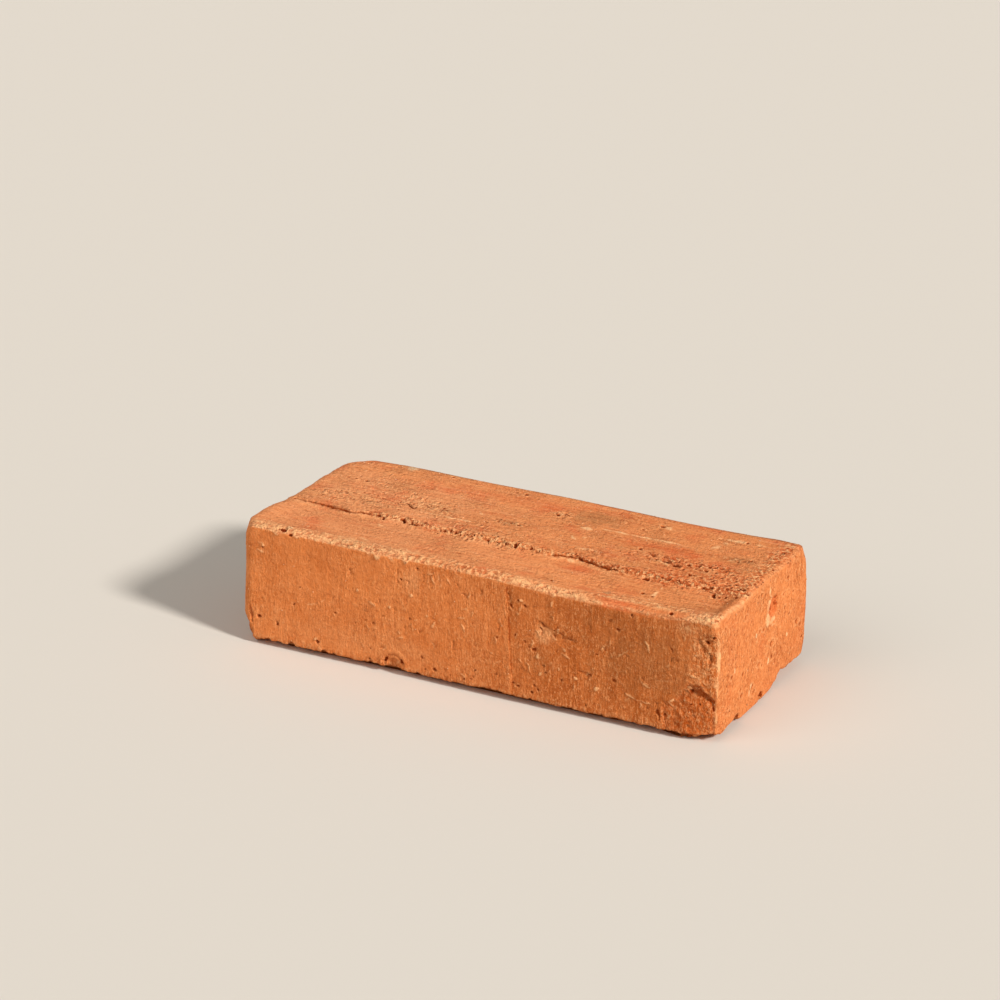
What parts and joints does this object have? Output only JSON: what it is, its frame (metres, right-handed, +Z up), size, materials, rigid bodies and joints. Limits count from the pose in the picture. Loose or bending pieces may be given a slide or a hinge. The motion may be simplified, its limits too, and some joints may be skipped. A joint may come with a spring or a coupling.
{
  "type": "clay brick",
  "caption": "Solid hand-moulded fired-clay brick with rolled arrises and a struck top, laid flat on its bed in walls and paving.",
  "frame": {"origin": "centre of the brick's footprint, on the plane of its bed", "axes": "+X along the length, -Y out of the front stretcher face, +Z up through the struck top"},
  "size_m": [0.2287, 0.1051, 0.0571],
  "materials": {
    "fired_clay": "matte, sandy, drag-marked"
  },
  "bodies": {
    "root": {"brick": "fired_clay"}
  },
  "joints": []
}
